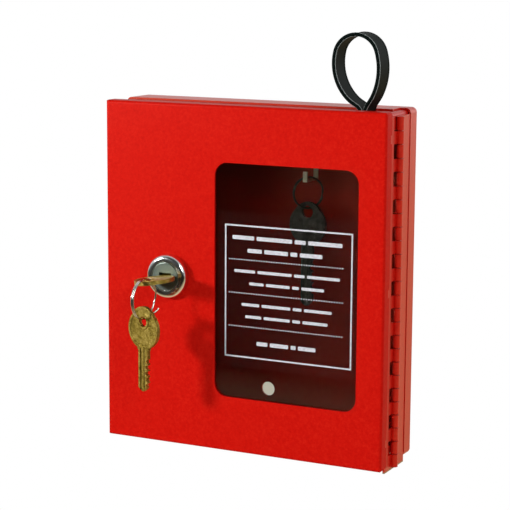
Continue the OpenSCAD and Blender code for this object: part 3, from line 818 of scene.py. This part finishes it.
FRAME_X0, FRAME_X1, FRAME_Z0, FRAME_Z1, LINE = -6.0, 60.0, -36.5, 27.5, 0.75
frame_bars = [(FRAME_X0, FRAME_X1, FRAME_Z1 - LINE, FRAME_Z1, 0.1),
              (FRAME_X0, FRAME_X1, FRAME_Z0, FRAME_Z0 + LINE, 0.1),
              (FRAME_X0, FRAME_X0 + LINE, FRAME_Z0 + LINE, FRAME_Z1 - LINE, 0.1),
              (FRAME_X1 - LINE, FRAME_X1, FRAME_Z0 + LINE, FRAME_Z1 - LINE, 0.1)]
print_piece("print_frame", frame_bars)
BAR_SHARES, BAR_GAP = (0.22, 0.34, 0.12, 0.32), 1.3
BAR_ROWS = [(21.4, -2, 56, 1.9), (15.4, 6, 46, 1.9), (5.4, -1, 55, 1.4), (-0.4, 7, 47, 1.4),
             (-10.6, 3, 51, 1.4), (-16.4, 5, 49, 1.4), (-29.0, 11, 43, 1.9)]
row_bars = []
for z, x0, x1, tall in BAR_ROWS:
    x = x0
    for share in BAR_SHARES:
        wide = (x1 - x0) * share
        row_bars.append((x, x + wide - BAR_GAP, z - tall / 2, z + tall / 2, 0.4))
        x += wide
print_piece("print_bars", row_bars)
print("bars:", len(row_bars))

# %% [markdown]
# ## Dotted dividers and weld marks by Geometry Nodes
# The dividers are rows of equal dots, and the channels are held by equal spot welds. One tree puts
# a small shape on the points of a line, and the sizes are its named inputs. The result is made
# real and kept as a plain mesh.

# %% A tree that repeats a disc along a line
def repeat_tree(name, material):
    """Rows of discs: along the row, and from row to row."""
    tree = bpy.data.node_groups.new(name, "GeometryNodeTree")
    face = tree.interface
    for label, kind in (("Start", "NodeSocketVector"), ("Step", "NodeSocketVector"),
                        ("Count", "NodeSocketInt"), ("Row Step", "NodeSocketVector"),
                        ("Rows", "NodeSocketInt"), ("Radius", "NodeSocketFloat"),
                        ("Thickness", "NodeSocketFloat")):
        face.new_socket(label, in_out="INPUT", socket_type=kind)
    face.new_socket("Geometry", in_out="OUTPUT", socket_type="NodeSocketGeometry")
    given = add(tree, "NodeGroupInput").outputs
    disc = add(tree, "GeometryNodeMeshCylinder", Vertices=10, Radius=given["Radius"],
               Depth=given["Thickness"]).outputs["Mesh"]
    upright = add(tree, "GeometryNodeTransform", Geometry=disc,
                  Rotation=(math.radians(90), 0, 0)).outputs[0]
    row = add(tree, "GeometryNodeMeshLine", Count=given["Count"], Offset=given["Step"]).outputs[0]
    dots = add(tree, "GeometryNodeInstanceOnPoints", Points=row, Instance=upright).outputs[0]
    rows = add(tree, "GeometryNodeMeshLine", Count=given["Rows"], Start_Location=given["Start"],
               Offset=given["Row Step"]).outputs[0]
    every = add(tree, "GeometryNodeInstanceOnPoints", Points=rows, Instance=dots).outputs[0]
    real = add(tree, "GeometryNodeRealizeInstances", Geometry=every).outputs[0]
    inked = add(tree, "GeometryNodeSetMaterial", Geometry=real, Material=material).outputs[0]
    add(tree, "NodeGroupOutput", Geometry=inked)
    return tree


def grown(name, tree, values, body, slot, material):
    """Runs a tree on an empty mesh, keeps the plain result and lets it ride."""
    made = bpy.data.objects.new(name, bpy.data.meshes.new(name))
    bpy.context.scene.collection.objects.link(made)
    nodes = made.modifiers.new("repeat", "NODES")
    nodes.node_group = tree
    for item in tree.interface.items_tree:
        if item.in_out == "INPUT" and item.name in values:
            nodes[item.identifier] = values[item.name]
    bake_modifiers(made)
    stand_for(made, material, body, slot)
    print(name, "faces:", len(made.data.polygons))
    return made


DOT_X, DOT_Z, DOT_R, DOT_STEP, DIVIDER_STEP = -3.5 * MM, 10.9 * MM, 0.36 * MM, 1.3 * MM, 16.1 * MM
dots = repeat_tree("dotted_rows", white_ink)
grown("print_dividers", dots,
      {"Start": (DOT_X, INK_Y + INK_T / 2, DOT_Z), "Step": (DOT_STEP, 0, 0), "Count": 46,
       "Row Step": (0, 0, -DIVIDER_STEP), "Rows": 3, "Radius": DOT_R, "Thickness": INK_T},
      "door", "clear_film", white_ink)

# %% Spot welds on the side channels
weld_tree = repeat_tree("weld_marks", zinc_plate)
left_low, left_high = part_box("channel_left")
right_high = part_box("channel_right")[1]
WELD_IN, WELD_R, WELD_T = 2.4 * MM, 1.5 * MM, 0.12 * MM
WELD_X = left_low.x + WELD_IN
weld_span = left_high.z - left_low.z
grown("weld_marks_on_channels", weld_tree,
      {"Start": (WELD_X, left_low.y + 0.83 * MM, left_low.z + 0.1 * weld_span),
       "Step": (0, 0, 0.2 * weld_span), "Count": 5,
       "Row Step": (right_high.x - WELD_IN - WELD_X, 0, 0), "Rows": 2, "Radius": WELD_R,
       "Thickness": WELD_T},
      "door", "steel_zinc", zinc_plate)

# %% [markdown]
# ## Floor, backdrop and light
# The photograph has a plain white ground, and a camera ray meets the floor and the world as white.
# For glossy rays both fall off to near black towards the front, which gives the chrome its dark
# bands. Through the pane and the wall hole the ground shows as paper in the shade of the case. In
# the world that holds only for rays that have met no paint on the way. The floor has no such limit,
# so it can add light inside the case.

# %% Floor and world
SHADED_PAPER, WARM_MIRROR = "#D0C9B7", "#FFE3B4"
FLOOR_HALF, FLOOR_DROP = 3.0, 0.0002


def plain_floor(low_z):
    """A pale floor: white to the camera, dark towards the front for what mirrors it."""
    shape = bmesh.new()
    bmesh.ops.create_grid(shape, x_segments=1, y_segments=1, size=FLOOR_HALF)
    bmesh.ops.translate(shape, vec=(0, 0, low_z), verts=shape.verts)
    floor = placed(shape, "floor", Matrix.Identity(4))
    bpy.context.scene.collection.objects.link(floor)
    material = bpy.data.materials.new("pale_floor")
    material.use_nodes = True
    tree = material.node_tree
    shader = tree.nodes["Principled BSDF"]
    shader.inputs["Base Color"].default_value = colour("#F4F4F2")
    shader.inputs["Roughness"].default_value = 0.9
    shader.inputs["Specular IOR Level"].default_value = 0.0
    seen = add(tree, "ShaderNodeLightPath").outputs
    near = add(tree, "ShaderNodeSeparateXYZ",
               Vector=add(tree, "ShaderNodeTexCoord").outputs["Object"]).outputs["Y"]
    pool = add(tree, "ShaderNodeMapRange", Value=near, From_Min=-0.2, From_Max=0.0,
               To_Min=0.02, To_Max=1.0).outputs[0]
    glossy = add(tree, "ShaderNodeMath", {"operation": "MULTIPLY"}, i0=seen["Is Glossy Ray"],
                 i1=pool).outputs[0]
    strength = add(tree, "ShaderNodeMath", {"operation": "MAXIMUM"}, i0=seen["Is Camera Ray"],
                   i1=glossy).outputs[0]
    mirrored = add(tree, "ShaderNodeMath", {"operation": "SUBTRACT", "use_clamp": True},
                   i0=seen["Is Glossy Ray"], i1=seen["Is Transmission Ray"]).outputs[0]
    tint = add(tree, "ShaderNodeMix", {"data_type": "RGBA"}, i0=mirrored,
               i6=(1, 1, 1, 1), i7=colour(WARM_MIRROR)).outputs[2]
    tint = add(tree, "ShaderNodeMix", {"data_type": "RGBA"}, i0=seen["Is Transmission Ray"],
               i6=tint, i7=colour(SHADED_PAPER)).outputs[2]
    white = add(tree, "ShaderNodeEmission", Color=tint, Strength=strength).outputs[0]
    bright = add(tree, "ShaderNodeMath", {"operation": "MAXIMUM"}, i0=seen["Is Camera Ray"],
                 i1=seen["Is Glossy Ray"]).outputs[0]
    both = add(tree, "ShaderNodeMixShader", Fac=bright, i1=shader.outputs[0], i2=white).outputs[0]
    tree.links.new(both, tree.nodes["Material Output"].inputs["Surface"])
    floor.data.materials.append(material)


floor_z = CAD_LO.z - FLOOR_DROP
plain_floor(floor_z)

world = bpy.context.scene.world or bpy.data.worlds.new("studio")
bpy.context.scene.world = world
world.use_nodes = True
sky = world.node_tree
sky.nodes.clear()
towards = add(sky, "ShaderNodeTexCoord").outputs["Generated"]
front_back = add(sky, "ShaderNodeSeparateXYZ", Vector=towards).outputs["Y"]
studio = add(sky, "ShaderNodeMapRange", Value=front_back, From_Min=-0.6, From_Max=0.2,
             To_Min=0.03, To_Max=0.95).outputs[0]
seen = add(sky, "ShaderNodeLightPath").outputs
plain = add(sky, "ShaderNodeBackground", Color=colour("#FFFFFF"), Strength=0.17).outputs[0]
shown = add(sky, "ShaderNodeBackground", Color=(1, 1, 1, 1), Strength=studio).outputs[0]
backdrop = add(sky, "ShaderNodeBackground", Color=(1, 1, 1, 1), Strength=1.0).outputs[0]
shaded_paper = add(sky, "ShaderNodeBackground", Color=colour(SHADED_PAPER), Strength=1.0).outputs[0]
glossy_mix = add(sky, "ShaderNodeMixShader", Fac=seen["Is Glossy Ray"], i1=plain,
                 i2=shown).outputs[0]
straight = add(sky, "ShaderNodeMath", {"operation": "LESS_THAN"}, i0=seen["Diffuse Depth"],
               i1=0.5).outputs[0]
clear_ray = add(sky, "ShaderNodeMath", {"operation": "MULTIPLY"}, i0=straight,
                i1=seen["Is Transmission Ray"]).outputs[0]
through = add(sky, "ShaderNodeMixShader", Fac=clear_ray, i1=glossy_mix,
              i2=shaded_paper).outputs[0]
final = add(sky, "ShaderNodeMixShader", Fac=seen["Is Camera Ray"], i1=through,
            i2=backdrop).outputs[0]
add(sky, "ShaderNodeOutputWorld", Surface=final)
print("floor at", round(floor_z / MM, 2), "mm")

# %% [markdown]
# ## Lamps
# A small lamp at the left throws the shadows of the lock and the keys on the door, a wide one at
# the right lights the hinge side, and one behind lights the top. The left lamp isn't seen through
# clear sheet, an attempt to keep the right of the inside dark, as it is in the photograph.

# %% Lamps
def soft_box(name, at, aim, size, power):
    """A square area lamp that faces a point."""
    lamp = bpy.data.lights.new(name, "AREA")
    lamp.size, lamp.energy = size, power
    made = bpy.data.objects.new(name, lamp)
    bpy.context.scene.collection.objects.link(made)
    direction = Vector(aim) - Vector(at)
    turn = direction.to_track_quat("-Z", "Y").to_matrix().to_4x4()
    made.matrix_world = Matrix.Translation(at) @ turn
    made.visible_camera = False
    return made


left_lamp = soft_box("left_lamp", (-0.62, -0.68, 0.23), (-0.03, -0.05, -0.02), 0.12, 5.9)
left_lamp.visible_transmission = False
soft_box("right_lamp", (1.0, -0.85, 0.72), (0, -0.03, 0), 0.6, 9.0)
soft_box("rear_lamp", (0.75, 1.1, 0.45), (0.05, -0.02, 0.05), 0.9, 4)
print("lamps: 3")
